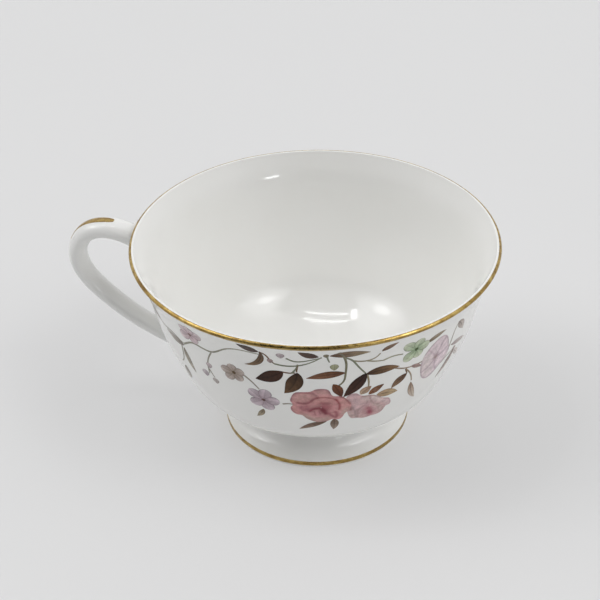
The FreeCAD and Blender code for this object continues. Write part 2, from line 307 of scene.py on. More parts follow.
def bend(a, corner, b, count):
    """A quadratic curve from a to b, pulled to a corner."""
    u = np.linspace(0, 1, count).reshape(-1, *([1] * np.ndim(a)))
    return (1 - u) ** 2 * np.asarray(a) + 2 * u * (1 - u) * np.asarray(corner) + u * u * np.asarray(b)


def arc(a, middle, b, count):
    """Points on the circle through three points in a plane."""
    a, middle, b = [np.array(p, float) for p in (a, middle, b)]
    sides = 2 * np.array([middle - a, b - a])
    centre = np.linalg.solve(sides, [middle @ middle - a @ a, b @ b - a @ a])
    start, half, end = [math.atan2(*(p - centre)[::-1]) for p in (a, middle, b)]
    half = start + (half - start + math.pi) % (2 * math.pi) - math.pi
    end = half + (end - half + math.pi) % (2 * math.pi) - math.pi
    turn = np.linspace(start, end, count)
    reach = np.linalg.norm(a - centre)
    return centre + reach * np.stack([np.cos(turn), np.sin(turn)], -1)


# ---------------- materials

def put(tree, node, values):
    """Set a node's inputs, each by its name or number, or link them where the value is a socket."""
    for key, value in values.items():
        socket = node.inputs[key]
        if isinstance(value, bpy.types.NodeSocket):
            tree.links.new(value, socket)
        elif socket.type == "RGBA":
            socket.default_value = (*value, 1)
        else:
            socket.default_value = value


def add(tree, kind, values):
    """A new node with its inputs."""
    made = tree.nodes.new("ShaderNode" + kind)
    put(tree, made, values)
    return made


def material(name):
    """A new material, its node tree and its shader."""
    made = bpy.data.materials.new(name)
    made.use_nodes = True
    tree = made.node_tree
    return made, tree, tree.nodes["Principled BSDF"]


def noise(tree, scale, detail, stretch=(1, 1, 1)):
    """Noise over the object, with its own size and stretch."""
    place = add(tree, "TexCoord", {}).outputs["Object"]
    place = add(tree, "Mapping", {"Vector": place, "Scale": stretch}).outputs["Vector"]
    return add(tree, "TexNoise", {"Vector": place, "Scale": scale, "Detail": detail}).outputs["Fac"]


def ramp(tree, value, stops):
    """Colours along a value."""
    made = add(tree, "ValToRGB", {"Fac": value})
    elements = made.color_ramp.elements
    while len(elements) < len(stops):
        elements.new(0.5)
    for element, (place, colour) in zip(elements, stops):
        element.position = place
        element.color = (*colour, 1)
    return made.outputs["Color"]


def between(tree, value, low, high, low_in=0.3, high_in=0.7):
    """A value spread between two numbers."""
    made = add(tree, "MapRange", {"Value": value, "From Min": low_in, "From Max": high_in,
                                  "To Min": low, "To Max": high})
    return made.outputs["Result"]


def mixed(tree, factor, a, b, blend="MIX"):
    """Two colours mixed; 6, 7 and 2 are the colour sockets of the node."""
    made = tree.nodes.new("ShaderNodeMix")
    made.data_type, made.blend_type = "RGBA", blend
    put(tree, made, {0: factor, 6: a, 7: b})
    return made.outputs[2]


def bump(tree, height, strength, distance):
    """Relief from a height; the distance is in metres."""
    made = add(tree, "Bump", {"Height": height, "Strength": strength, "Distance": distance})
    return made.outputs["Normal"]


def specks(tree, scale, size):
    """1 at rare round spots, else 0."""
    place = add(tree, "TexCoord", {}).outputs["Object"]
    cells = add(tree, "TexVoronoi", {"Vector": place, "Scale": scale})
    return between(tree, cells.outputs["Distance"], 1, 0, size * 0.6, size)


def porcelain(name, light, shade):
    """White glaze over white clay: faint tone clouds, slow ripples and a few pits."""
    made, tree, shader = material(name)
    body = ramp(tree, noise(tree, 38, 3), [(0.3, shade), (0.7, light)])
    body = mixed(tree, specks(tree, 130, PIT_SIZE), body, PIT_COLOUR)
    put(tree, shader, {
        "Base Color": body, "IOR": GLAZE_IOR,
        "Roughness": between(tree, noise(tree, 90, 3), 0.05, 0.1),
        "Normal": bump(tree, noise(tree, 55, 1), 0.12, 0.0004)})
    return made


def gold(name, bright, dark, streak):
    """Brushed-on gilding: thick and thin places, rubbed to brown along it."""
    made, tree, shader = material(name)
    cover = noise(tree, 420, 4, streak)
    metal = ramp(tree, cover, [(0.3, dark), (0.5, bright), (0.72, GOLD_SHINE)])
    metal = mixed(tree, between(tree, noise(tree, 2600, 2), 0, 0.25), metal, dark)
    put(tree, shader, {
        "Base Color": metal, "Metallic": 1,
        "Roughness": between(tree, noise(tree, 900, 3), 0.2, 0.42),
        "Normal": bump(tree, noise(tree, 1800, 3), 0.15, 0.00003)})
    return made


def enamel(name):
    """Printed colour fired onto the glaze: the ink attribute, washed and grained."""
    made, tree, shader = material(name)
    printed = add(tree, "Attribute", {})
    printed.attribute_name = "ink"
    wash = ramp(tree, noise(tree, 700, 3), [(0.3, (0.8,) * 3), (0.7, (1.12,) * 3)])
    grain = ramp(tree, noise(tree, 5200, 2), [(0.35, (0.86,) * 3), (0.65, (1.1,) * 3)])
    colour = mixed(tree, 1, printed.outputs["Color"], wash, "MULTIPLY")
    colour = mixed(tree, 1, colour, grain, "MULTIPLY")
    put(tree, shader, {
        "Base Color": colour, "IOR": INK_IOR,
        "Roughness": between(tree, noise(tree, 1200, 2), 0.1, 0.2),
        "Normal": bump(tree, noise(tree, 3000, 2), 0.15, 0.00002)})
    return made


def paper(name):
    """Plain pale paper under the cup, which glows a little so that its shadow stays soft."""
    made, tree, shader = material(name)
    tone = ramp(tree, noise(tree, 3, 2), [(0.3, PAPER_DARK), (0.7, PAPER_LIGHT)])
    put(tree, shader, {
        "Base Color": tone, "Emission Color": tone, "Emission Strength": PAPER_GLOW,
        "Roughness": 0.9, "Specular IOR Level": 0.1})
    return made


# ---------------- bowl and foot

def wall(height):
    """The wall's thickness, which thins toward the lip."""
    return WALL_AT_BASE + (WALL_AT_LIP - WALL_AT_BASE) * np.minimum(1, height / HEIGHT)


def inside_curve():
    """The bowl's inner line, worked out from the outline and the wall."""
    shares = (OUTLINE.knots - OUTLINE.ends[0]) / (OUTLINE.ends[1] - OUTLINE.ends[0])
    outside = OUTLINE.at(shares)
    points = outside - outward(OUTLINE.along(shares)) * wall(outside[:, 1:])
    points[0, 0] = 0
    return Curve(points, (1, 0), (0.5, 1))


INSIDE = inside_curve()


def lip():
    """Round top of the wall, from its outside to its inside."""
    outer, inner = OUTLINE.at(1.0), INSIDE.at(1.0)
    return arc(outer, ((outer[0] + inner[0]) / 2, HEIGHT), inner, 25)


def make_bowl(glaze):
    """One shell, closed by a small cap at each pole."""
    shares = np.linspace(0.006, 1, 110)
    line = np.vstack([OUTLINE.at(shares), lip()[1:-1], INSIDE.at(shares[::-1])])
    lathe("glazed_bowl", line, glaze, ["bowl"], False)


def make_foot(glaze):
    """The flared foot ring, and the slip seam that runs it into the bowl."""
    flare = arc(FOOT_NECK, FOOT_WAIST, (FOOT_RADIUS, FOOT_EDGE_HEIGHT), 60)
    flare = flare[flare[:, 1] < FLARE_TOP]
    bevel = arc(FOOT_BEVEL_START, FOOT_BEVEL_MIDDLE, FOOT_REST[0], 8)
    recess = Curve(FOOT_RECESS).at(np.linspace(0.04, 1, 24))
    line = np.vstack([flare, bevel, FOOT_REST[1:], recess])
    lathe("glazed_foot", line, glaze, ["foot_ring"], True)
    seam = np.vstack([bend(SEAM_LOW, SEAM_CORNER, SEAM_HIGH, 16), SEAM_BACK])
    lathe("foot_seam", seam, glaze, ["foot_slip_seam"], True)


# ---------------- handle

HANDLE = Curve([(-out, 0, height) for out, height in HANDLE_LINE])
SIDE = np.array([0.0, 1.0, 0.0])
ROUND = 64  # points round the handle


def handle_size(share, sizes):
    """Half a size from top to bottom, with the loop a little thicker near its two ends."""
    growth = HANDLE_END_GROWTH * np.abs(2 * share - 1) ** 8
    return (sizes[0] + (sizes[1] - sizes[0]) * share + growth) / 2


def handle_point(share, angle, grow=0.0):
    """A point on the handle's skin; angle 0 is the outer side of the loop."""
    share, angle = np.broadcast_arrays(share, angle)
    outer = -unit(np.cross(HANDLE.along(share), SIDE))
    thick = (handle_size(share, HANDLE_THICKNESS) + grow)[..., None]
    wide = (handle_size(share, HANDLE_WIDTH) + grow)[..., None]
    cos, sin = np.cos(angle)[..., None], np.sin(angle)[..., None]
    return HANDLE.at(share) + outer * thick * cos + SIDE * wide * sin


def handle_meets_bowl(angle):
    """Shares at which each line along the handle leaves the bowl and comes back to it."""
    shares = np.linspace(0, 1, 500)
    tops, ends = [], []
    for a in angle:
        out = nearest(handle_point(shares, a))[2]
        clear = np.flatnonzero(out > 0)
        first, last = clear[0], clear[-1]
        tops.append(np.interp(0, out[first - 1:first + 1], shares[first - 1:first + 1]))
        ends.append(np.interp(0, out[last:last + 2][::-1], shares[last:last + 2][::-1]))
    return np.array(tops), np.array(ends)


def make_handle(glaze):
    """The loop as one tube between two places on the bowl, with a fillet of slip at each end."""
    angle = np.arange(ROUND) * 2 * math.pi / ROUND
    top, end = handle_meets_bowl(angle)
    length = np.linalg.norm(np.diff(HANDLE.at(np.linspace(0, 1, 400)), axis=0), axis=1).sum()
    tuck = HANDLE_TUCK / length
    steps = np.linspace(0, 1, 150)[:, None]
    shares = (top - tuck) + (end - top + 2 * tuck) * steps
    hoop("glazed_handle", handle_point(shares, angle), glaze, ["handle"], False)
    for name, node, meet, way, reach in (
            ("upper_slip", "upper_handle_slip", top, 1, SLIP_REACH[0]),
            ("lower_slip", "lower_handle_slip", end, -1, SLIP_REACH[1])):
        corner = handle_point(meet, angle)
        on_handle = handle_point(meet + way * reach / length, angle)
        away = corner - corner.mean(0)
        normal = skin_normal(corner)
        away = unit(away - normal * (away * normal).sum(-1, keepdims=True))
        on_bowl = hug(corner + away * reach, 0.0)
        face = bend(on_handle, corner, on_bowl, 14)
        under_bowl = hug(corner + away * reach * 0.6, -SLIP_TUCK)
        core = handle_point(meet + way * 0.1 / length, angle, -0.8)
        under_handle = handle_point(meet + way * reach * 0.8 / length, angle, -SLIP_TUCK)
        rings = np.concatenate([face, [under_bowl, core, under_handle]])
        hoop(name, rings, glaze, [node], True)


# ---------------- gilding

def make_rim_gold(metal):
    """A film down the outside of the rim and over the outer part of the lip."""
    heights = np.linspace(HEIGHT - RIM_GOLD_DEPTH, HEIGHT - LIP_DROP, 6)
    shares = np.interp(heights, SKIN[:, 1], SKIN_SHARES)
    over = lip()
    over = over[:int(len(over) * RIM_GOLD_OVER_LIP)]
    base = np.vstack([OUTLINE.at(shares), over[1:]])
    out = outward(unit(np.gradient(base, axis=0)))
    rise = np.linspace(0, 9, len(base))  # full lift from a ninth of the way in from each edge
    lift = GOLD_LIFT * np.clip(np.minimum(rise, rise[::-1]), 0, 1)
    line = np.vstack([base + out * lift[:, None], (base - out * 0.1)[::-1]])
    lathe("rim_gold", line, metal, ["rim_gilding"], True)


def make_foot_gold(metal):
    """A film round the foot's edge; its upper half mirrors its lower half."""
    low, high = FOOT_GOLD_HEIGHTS
    out = FOOT_RADIUS + GOLD_LIFT
    half = [(FOOT_RADIUS - FOOT_GOLD_DEPTH, 0), (FOOT_RADIUS, 0), (out - 0.02, 0.03), (out, 0.1)]
    line = [(radius, low + inset) for radius, inset in half]
    line.append((out, (low + high) / 2))
    line += [(radius, high - inset) for radius, inset in reversed(half)]
    lathe("foot_gold", line, metal, ["foot_gilding"], True)


def make_handle_gold(metal):
    """A brush stroke along the top of the loop."""
    shares = np.linspace(0.05, 0.6, 300)
    out = -handle_point(shares, 0.0)[:, 0]
    farthest = out.argmax()
    stroke = Curve(GOLD_STROKE[::-1]).at(np.linspace(0, 1, 70))
    place = np.interp(stroke[:, 0], out[:farthest + 1], shares[:farthest + 1])[:, None]
    half = np.maximum(stroke[:, 1], 0.02)[:, None]
    across = np.linspace(-1, 1, 13)[None]
    angle = np.arcsin(half * across / handle_size(place, HANDLE_WIDTH))
    top, under = handle_point(place, angle, GOLD_LIFT), handle_point(place, angle, -0.06)
    loop = np.concatenate([top, under[:, ::-1]], axis=1)
    hoop("handle_gold", loop, metal, ["handle_gilding"], False)


# ---------------- printed garland

def ink(colour):
    """A display colour as linear light."""
    c = np.asarray(colour, float) / 255
    return np.where(c <= 0.04045, c / 12.92, ((c + 0.055) / 1.055) ** 2.4)


def pointed(u):
    """A leaf's width along it: narrow at both ends, widest near the middle."""
    return np.sin(np.pi * u ** 0.85) ** 0.9


def rounded(u):
    """A petal's width along it: blunt, and widest past the middle."""
    return np.sin(np.pi * u ** 1.35) ** 0.55


def strip(line, half, across):
    """A grid along a line on the bowl, with its half widths and its steps from side to side."""
    sides = np.cross(skin_normal(line), unit(np.gradient(line, axis=0)))
    return line[:, None] + sides[:, None] * (half[:, None] * across)[..., None]


class Print:
    """Many thin patches of colour that hug the bowl, kept in one mesh."""

    def __init__(self):
        self.vertices, self.faces, self.colours, self.count, self.layer = [], [], [], 0, 0

    def patch(self, grid, colours, ringed=False, layer=None):
        """One patch as a closed film; a ringed patch runs round from its middle outwards."""
        layer = self.layer if layer is None else layer
        self.layer = (self.layer + 1) % FILM_LAYERS
        rows, cols = grid.shape[:2]
        top = hug(grid, FILM_LIFT + FILM_STEP * layer)
        under = hug(grid, -FILM_DEPTH)
        first, size = self.count, rows * cols
        self.faces += quads(rows, cols, False, ringed, first)
        self.faces += [f[::-1] for f in quads(rows, cols, False, ringed, first + size)]
        j = np.arange(cols if ringed else cols - 1)
        edges = [(row * cols + j, row * cols + (j + 1) % cols) for row in (0, rows - 1)]
        if not ringed:
            i = np.arange(rows - 1) * cols
            edges += [(i + col, i + cols + col) for col in (0, cols - 1)]
        for a, b in edges:
            self.faces += (first + np.stack([a, b, b + size, a + size], -1)).tolist()
        self.vertices += [top.reshape(-1, 3), under.reshape(-1, 3)]
        flat = np.concatenate([np.clip(colours, 0, 0.85).reshape(-1, 3)] * 2)
        self.colours.append(np.concatenate([flat, np.ones((len(flat), 1))], 1))
        self.count += 2 * size

    def blade(self, stalk, tip, width, root, end, shape=pointed, curve=0.0, rows=26, cols=11,
              rib=0.6, veins=0.12, edge=0.25, layer=None):
        """A leaf or petal from stalk to tip, shaded from root colour to end colour.

        Its edge, middle rib and slanted veins are darker, and one half is a little lighter.
        """
        a, b = spot(*stalk), spot(*tip)
        middle = (a + b) / 2
        side = unit(np.cross(skin_normal(middle), b - a))
        u = np.linspace(0, 1, rows)
        v = np.linspace(-1, 1, cols)
        line = bend(a, middle + side * 2 * curve, b, rows)
        grid = strip(line, np.maximum(shape(u), 0.02) * width / 2, v)
        uu, vv = u[:, None] + 0 * v, v[None] + 0 * u[:, None]
        tone = ink(root) + (ink(end) - ink(root)) * uu[..., None]
        aside = np.abs(vv)
        dark = edge * np.clip((aside - 0.65) / 0.35, 0, 1) ** 2
        dark = dark + rib * np.exp(-(vv / 0.13) ** 2) * (1 - uu) ** 0.5
        dark = dark + veins * (np.sin((uu * 6 - aside * 1.4) * 2 * np.pi) > 0.45) * (aside > 0.15)
        light = 0.22 * (vv > 0.1) * (1 - aside)
        self.patch(grid, tone * (1 - dark + light)[..., None], layer=layer)

    def stem(self, points, width, colour):
        """A fine line through places on the bowl."""
        line = Curve([spot(*p) for p in points])
        rows = max(6, int(line.ends[1] / 0.5))
        u = np.linspace(0, 1, rows)
        v = np.array([-1, 0, 1])
        grid = strip(line.at(u), width / 2 * (1 - 0.35 * u), v)
        tone = ink(colour) * (1 + 0.15 * v)[:, None]
        self.patch(grid, np.broadcast_to(tone, grid.shape), layer=0)

    def bloom(self, centre, outline, base, strokes, layer):
        """A whole flower: its outline filled with a base colour and painted with strokes."""
        edge = Curve(outline, closed=True).at(np.arange(BLOOM_SPOKES) / BLOOM_SPOKES)
        share = np.linspace(0.02, 1, BLOOM_RINGS)[:, None, None]
        places = np.array(centre) + (edge - centre)[None] * share
        grid = spot(places[..., 0], places[..., 1])
        colours = np.zeros(grid.shape) + ink(base)
        flat = grid.reshape(-1, 3)
        for colour, strength, reach, points in strokes:
            if len(points) > 1:
                line = Curve([spot(*p) for p in points])
                marks = line.at(np.linspace(0, 1, max(8, int(line.ends[1] / 0.2))))
            else:
                marks = spot(*points[0])[None]
            gap = ((flat[:, None] - marks[None]) ** 2).sum(-1).min(1).reshape(grid.shape[:2])
            cover = (strength * np.exp(-gap / reach ** 2))[..., None]
            colours = colours + (ink(colour) - colours) * cover
        self.patch(grid, colours, ringed=True, layer=layer)

    def piece(self, name, node, turn, paint):
        """All the patches as one piece, turned about the cup's axis."""
        vertices = np.concatenate(self.vertices)
        a = math.radians(turn)
        spin = np.array([[math.cos(a), math.sin(a), 0], [-math.sin(a), math.cos(a), 0], [0, 0, 1]])
        piece_from(name, vertices @ spin, self.faces, paint, [node],
                   np.concatenate(self.colours))


STEM = (128, 132, 112)
BROWN_STEM = (118, 92, 72)

# Places in the print are azimuth and height, and its colours are display colours of 0 to 255.
# stalk, tip, width, colour at the stalk, colour at the tip, curve
LEAVES = [
    ((-91.5, 47.1), (-100.9, 43.0), 4.0, (72, 42, 30), (52, 30, 20), 0.5),
    ((-87.0, 47.0), (-91.7, 39.0), 4.2, (56, 36, 24), (104, 76, 50), 0.8),
    ((-98.0, 53.9), (-104.4, 55.7), 2.6, (70, 46, 32), (58, 38, 28), 0.2),
    ((-97.7, 54.0), (-103.8, 47.6), 1.7, (80, 56, 40), (134, 110, 84), 1.9),
    ((-80.4, 53.4), (-86.2, 55.6), 2.6, (66, 42, 30), (84, 56, 40), 0.3),
    ((-77.2, 53.7), (-65.0, 53.5), 3.0, (96, 66, 46), (150, 132, 104), 0.4),
    ((-72.0, 46.5), (-84.3, 45.0), 2.5, (100, 66, 48), (132, 92, 68), -0.4),
    ((-65.3, 45.3), (-72.2, 37.4), 3.5, (46, 26, 18), (74, 44, 30), 0.3),
    ((-75.8, 42.7), (-72.8, 37.5), 2.5, (122, 76, 50), (82, 44, 32), 0.2),
    ((-77.5, 26.9), (-88.1, 23.0), 2.0, (96, 70, 56), (148, 124, 106), -0.4),
    ((-74.8, 27.9), (-74.6, 22.6), 2.2, (108, 82, 66), (160, 142, 126), 0.2),
    ((-65.4, 44.9), (-53.7, 44.7), 2.8, (62, 40, 26), (138, 106, 76), 0.5),
    ((-60.4, 35.9), (-52.2, 34.9), 3.0, (172, 142, 112), (186, 164, 128), 0.3),
    ((-50.1, 40.9), (-55.2, 36.9), 2.5, (92, 64, 46), (136, 108, 82), -0.3),
    ((-47.2, 36.5), (-41.5, 27.9), 1.9, (146, 118, 96), (214, 200, 184), -0.6),
    ((-49.0, 43.1), (-44.2, 41.4), 1.4, (158, 132, 124), (176, 152, 146), 0.1),
    ((-44.6, 49.4), (-36.6, 50.9), 1.9, (126, 110, 88), (164, 150, 128), 0.3),
    ((-61.3, 52.6), (-56.6, 55.0), 2.0, (110, 80, 58), (134, 104, 78), 0.2),
    ((-30.2, 42.3), (-19.5, 40.1), 1.7, (176, 160, 156), (206, 196, 190), 0.3),
    ((-26.8, 39.5), (-32.4, 31.5), 2.2, (140, 124, 116), (188, 174, 166), 0.3),
    ((-26.8, 39.0), (-20.7, 34.6), 1.8, (196, 184, 178), (216, 208, 202), 0.2),
    ((-29.8, 50.3), (-24.5, 45.4), 2.5, (158, 144, 134), (198, 188, 180), 0.3),
    ((-100.5, 30.6), (-104.4, 26.3), 1.5, (128, 112, 88), (168, 154, 130), 0.3),
    ((-129.3, 44.7), (-139.2, 45.7), 2.2, (134, 124, 116), (190, 184, 176), 0.3),
    ((-130.0, 43.6), (-128.0, 35.4), 1.9, (138, 130, 114), (186, 178, 164), -0.3),
    ((-134.7, 34.9), (-138.4, 28.0), 2.4, (124, 116, 104), (172, 164, 152), 0.3),
    ((-66.4, 37.4), (-62.9, 40.0), 2.4, (196, 170, 146), (150, 118, 94), 0.2),
    ((-63.4, 36.8), (-58.4, 39.6), 2.2, (140, 92, 64), (110, 74, 52), 0.2),
    ((-143.0, 46.9), (-150.0, 50.9), 1.8, (156, 146, 138), (190, 182, 174), 0.2),
]

# places along each stem, its width and its colour
STEMS = [
    ([(-104.8, 43.1), (-102.4, 41.3), (-100.3, 39.0)], 0.5, (150, 142, 132)),
    ([(-92.8, 34.4), (-90.4, 34.8), (-88.4, 34.6)], 0.5, (150, 142, 128)),
    ([(-129.3, 45.2), (-127.0, 46.5), (-124.0, 47.9), (-116.4, 47.9), (-110.0, 51.2),
      (-104.8, 52.8), (-98.3, 52.7)], 0.6, (150, 148, 132)),
    ([(-97.9, 53.9), (-96.5, 53.2), (-95.1, 51.0), (-93.9, 49.7)], 0.55, BROWN_STEM),
    ([(-91.5, 46.9), (-89.6, 46.7), (-87.7, 46.9)], 0.5, BROWN_STEM),
    ([(-93.9, 49.7), (-91.1, 49.3), (-85.0, 50.1), (-81.5, 51.7), (-79.5, 53.2)], 0.55, STEM),
    ([(-90.0, 52.4), (-87.7, 51.3), (-84.3, 51.6), (-79.5, 53.0)], 0.55, STEM),
    ([(-86.7, 49.9), (-87.0, 48.5), (-87.2, 47.2)], 0.5, BROWN_STEM),
    ([(-88.8, 46.7), (-87.4, 48.3), (-86.7, 50.1)], 0.5, STEM),
    ([(-77.8, 53.2), (-77.6, 52.1), (-77.1, 50.9)], 0.5, STEM),
    ([(-74.4, 55.1), (-72.7, 52.3), (-71.9, 48.9), (-72.0, 46.0), (-72.7, 43.1), (-74.4, 41.7)],
     0.7, (126, 122, 100)),
    ([(-72.4, 52.3), (-70.4, 51.1), (-68.6, 48.9), (-65.5, 45.3)], 0.6, STEM),
    ([(-65.0, 44.9), (-64.2, 42.5), (-63.9, 40.0)], 0.6, (150, 138, 112)),
    ([(-51.0, 42.8), (-50.6, 41.9), (-50.1, 40.9)], 0.5, BROWN_STEM),
    ([(-51.0, 42.8), (-48.6, 40.3), (-47.2, 37.1)], 0.5, (158, 142, 122)),
    ([(-55.6, 44.7), (-51.8, 43.3), (-48.0, 42.9), (-44.2, 43.0)], 0.5, (152, 136, 118)),
    ([(-60.1, 48.7), (-56.8, 49.3), (-53.3, 48.9)], 0.55, (160, 158, 136)),
    ([(-70.0, 50.7), (-65.5, 49.9), (-62.6, 50.7), (-61.6, 51.9)], 0.55, (150, 142, 118)),
    ([(-65.5, 49.9), (-62.8, 49.1), (-60.1, 48.7)], 0.55, (156, 150, 128)),
    ([(-130.9, 44.4), (-132.4, 39.5), (-133.6, 37.7), (-135.4, 36.3)], 0.5, (158, 154, 142)),
    ([(-116.1, 47.6), (-118.0, 44.9), (-119.1, 42.2), (-119.5, 38.9)], 0.45, (152, 148, 136)),
    ([(-129.6, 45.3), (-136.0, 46.6), (-140.4, 46.4), (-143.0, 46.9)], 0.45, (158, 154, 142)),
    ([(-119.2, 40.8), (-118.4, 39.4), (-117.6, 38.0)], 0.45, (152, 148, 136)),
    ([(-33.5, 37.5), (-30.0, 39.1), (-26.8, 39.5)], 0.5, (172, 160, 150)),
    ([(-31.2, 42.1), (-30.6, 46.5), (-29.8, 50.3)], 0.45, (176, 166, 156)),
    ([(-46.0, 49.3), (-45.3, 49.4), (-44.6, 49.4)], 0.45, (150, 148, 128)),
]

# centre, diameter, colour
BUDS = [
    ((-118.6, 42.1), 2.0, (176, 164, 166)),
    ((-121.5, 38.3), 2.4, (172, 162, 166)),
    ((-117.6, 36.7), 2.1, (168, 160, 156)),
    ((-91.6, 53.3), 2.2, (166, 154, 156)),
    ((-95.1, 50.6), 1.6, (152, 134, 132)),
    ((-75.6, 48.9), 2.3, (150, 150, 124)),
    ((-26.8, 39.6), 1.5, (168, 150, 146)),
    ((-78.2, 53.8), 1.5, (120, 112, 92)),
    ((-61.0, 37.9), 1.8, (140, 104, 84)),
]

# centre, petal tips, petal width, petal colour at the heart and at the tip, heart colour and size
BLOSSOMS = {
    "mixed_blossom": (
        (-108.5, 43.1), [(-109.4, 46.0), (-113.4, 43.7), (-104.8, 44.3), (-111.7, 40.2), (-105.9, 40.6)],
        2.8, (150, 134, 120), (190, 178, 172), (96, 78, 56), 1.1),
    "mauve_blossom": (
        (-99.5, 34.9), [(-104.2, 38.3), (-98.0, 39.3), (-93.7, 35.1), (-97.6, 30.8), (-104.4, 32.5)],
        3.6, (160, 140, 148), (204, 190, 198), (104, 76, 74), 1.1),
    "pink_blossom": (
        (-123.6, 51.0), [(-128.6, 49.0), (-127.1, 53.4), (-122.6, 54.4), (-118.6, 52.4), (-121.6, 48.4)],
        3.3, (176, 150, 156), (212, 196, 198), (128, 100, 96), 1.2),
    "green_blossom": (
        (-48.4, 48.9), [(-53.4, 52.3), (-47.4, 52.7), (-43.4, 49.5), (-46.6, 45.8), (-52.4, 45.7)],
        3.3, (140, 162, 128), (204, 210, 186), (86, 104, 70), 1.2),
}

ROSE_OUTLINE = [
    (-89.9, 36.9), (-89.3, 38.2), (-88.3, 39.4), (-86.5, 39.8), (-84.5, 39.9), (-82.8, 40.2),
    (-81.5, 40.9), (-79.8, 41.1), (-78.0, 40.9), (-76.9, 40.1), (-76.3, 38.8), (-75.3, 38.0),
    (-73.5, 37.9), (-71.8, 37.1), (-70.5, 35.8), (-69.3, 34.3), (-69.2, 32.8), (-69.8, 31.3),
    (-71.0, 30.2), (-71.6, 28.9), (-72.5, 27.8), (-74.0, 27.6), (-75.4, 27.9), (-77.0, 27.2),
    (-79.0, 26.8), (-81.2, 26.8), (-83.5, 27.7), (-85.2, 28.8), (-86.4, 30.0), (-88.0, 30.3),
    (-89.4, 31.1), (-90.1, 32.2), (-90.1, 33.4), (-89.4, 34.3), (-89.4, 35.1), (-90.0, 36.0),
]
# colour, strength, reach in mm, places along the stroke
ROSE_STROKES = [
    ((198, 158, 152), 0.8, 1.6, [(-87.6, 37.5), (-86.0, 38.3), (-84.4, 38.3)]),
    ((196, 156, 152), 0.8, 1.1, [(-80.4, 39.8), (-78.4, 39.5)]),
    ((192, 160, 152), 0.95, 1.3, [(-85.4, 29.6), (-83.5, 28.6), (-81.5, 28.0), (-79.5, 28.0), (-77.5, 28.3)]),
    ((206, 154, 150), 0.9, 0.9, [(-81.3, 36.1), (-79.5, 36.5), (-77.5, 36.5), (-76.0, 36.1), (-75.2, 34.9)]),
    ((206, 150, 150), 0.9, 0.9, [(-75.1, 35.1), (-74.8, 33.9), (-75.1, 32.5)]),
    ((204, 152, 148), 0.9, 1.1, [(-72.2, 36.1), (-71.1, 34.1), (-71.4, 32.1)]),
    ((196, 166, 158), 0.8, 0.8, [(-70.8, 31.9), (-71.6, 30.3)]),
    ((206, 150, 146), 0.9, 0.9, [(-88.8, 33.7), (-88.6, 32.3), (-87.4, 31.4)]),
    ((170, 108, 115), 0.9, 1.1, [(-86.2, 33.4), (-85.2, 32.5), (-84.6, 33.9)]),
    ((160, 85, 95), 0.75, 1.5, [(-79.2, 34.1), (-77.6, 33.5)]),
    ((150, 88, 92), 0.7, 0.9, [(-79.4, 35.3), (-77.6, 35.1)]),
    ((186, 136, 136), 0.9, 0.55, [(-82.6, 34.2), (-81.2, 34.2), (-80.1, 34.6)]),
    ((135, 60, 72), 0.95, 0.75, [(-83.4, 32.1), (-82.4, 32.9), (-81.0, 33.2), (-79.5, 33.0), (-78.5, 32.2)]),
    ((118, 40, 54), 0.95, 0.95, [(-79.0, 32.3), (-78.3, 31.4), (-77.8, 30.8)]),
    ((196, 140, 145), 0.85, 0.4, [(-82.9, 31.4), (-82.2, 30.2)]),
    ((196, 140, 145), 0.85, 0.4, [(-81.1, 31.6), (-80.4, 30.3)]),
    ((198, 146, 148), 0.85, 0.4, [(-79.7, 30.2), (-78.3, 29.5)]),
    ((160, 100, 108), 0.8, 0.25, [(-82.0, 31.9), (-81.6, 30.1)]),
    ((160, 100, 108), 0.8, 0.25, [(-80.3, 31.9), (-79.9, 30.7)]),
    ((150, 82, 92), 0.85, 0.5, [(-76.8, 30.8), (-76.0, 29.8), (-75.2, 29.1)]),
    ((155, 84, 92), 0.85, 0.55, [(-74.6, 31.3), (-73.9, 29.9), (-74.2, 28.8)]),
    ((140, 82, 88), 0.9, 0.5, [(-87.5, 35.5), (-85.5, 35.3), (-84.0, 35.6), (-83.0, 36.3), (-82.0, 37.2),
        (-80.8, 37.7)]),
    ((150, 88, 88), 0.85, 0.32, [(-81.0, 37.6), (-79.5, 37.8), (-77.5, 37.6), (-75.8, 37.2), (-74.4, 36.4)]),
    ((150, 68, 72), 0.9, 0.36, [(-74.6, 36.6), (-73.6, 35.1), (-73.2, 33.7), (-73.3, 32.3)]),
    ((165, 108, 114), 0.9, 0.3, [(-86.6, 39.6), (-84.6, 39.6), (-82.2, 39.3)]),
    ((160, 115, 120), 0.8, 0.28, [(-82.8, 40.1), (-82.0, 39.3), (-81.3, 38.5)]),
    ((150, 112, 118), 0.9, 0.3, [(-89.8, 36.1), (-89.6, 37.5), (-88.5, 39.0), (-87.0, 39.6)]),
    ((152, 118, 124), 0.9, 0.28, [(-81.6, 40.7), (-79.8, 40.9), (-78.0, 40.7), (-77.0, 39.9), (-76.5, 38.9)]),
    ((150, 98, 98), 0.9, 0.3, [(-73.4, 37.7), (-71.8, 36.9), (-70.6, 35.6), (-69.6, 34.2)]),
    ((158, 116, 122), 0.85, 0.28, [(-89.9, 33.5), (-89.8, 32.1), (-88.9, 31.1)]),
    ((162, 130, 126), 0.7, 0.25, [(-86.0, 29.7), (-84.0, 28.1), (-82.0, 27.2), (-79.8, 27.0), (-77.5, 27.3)]),
]

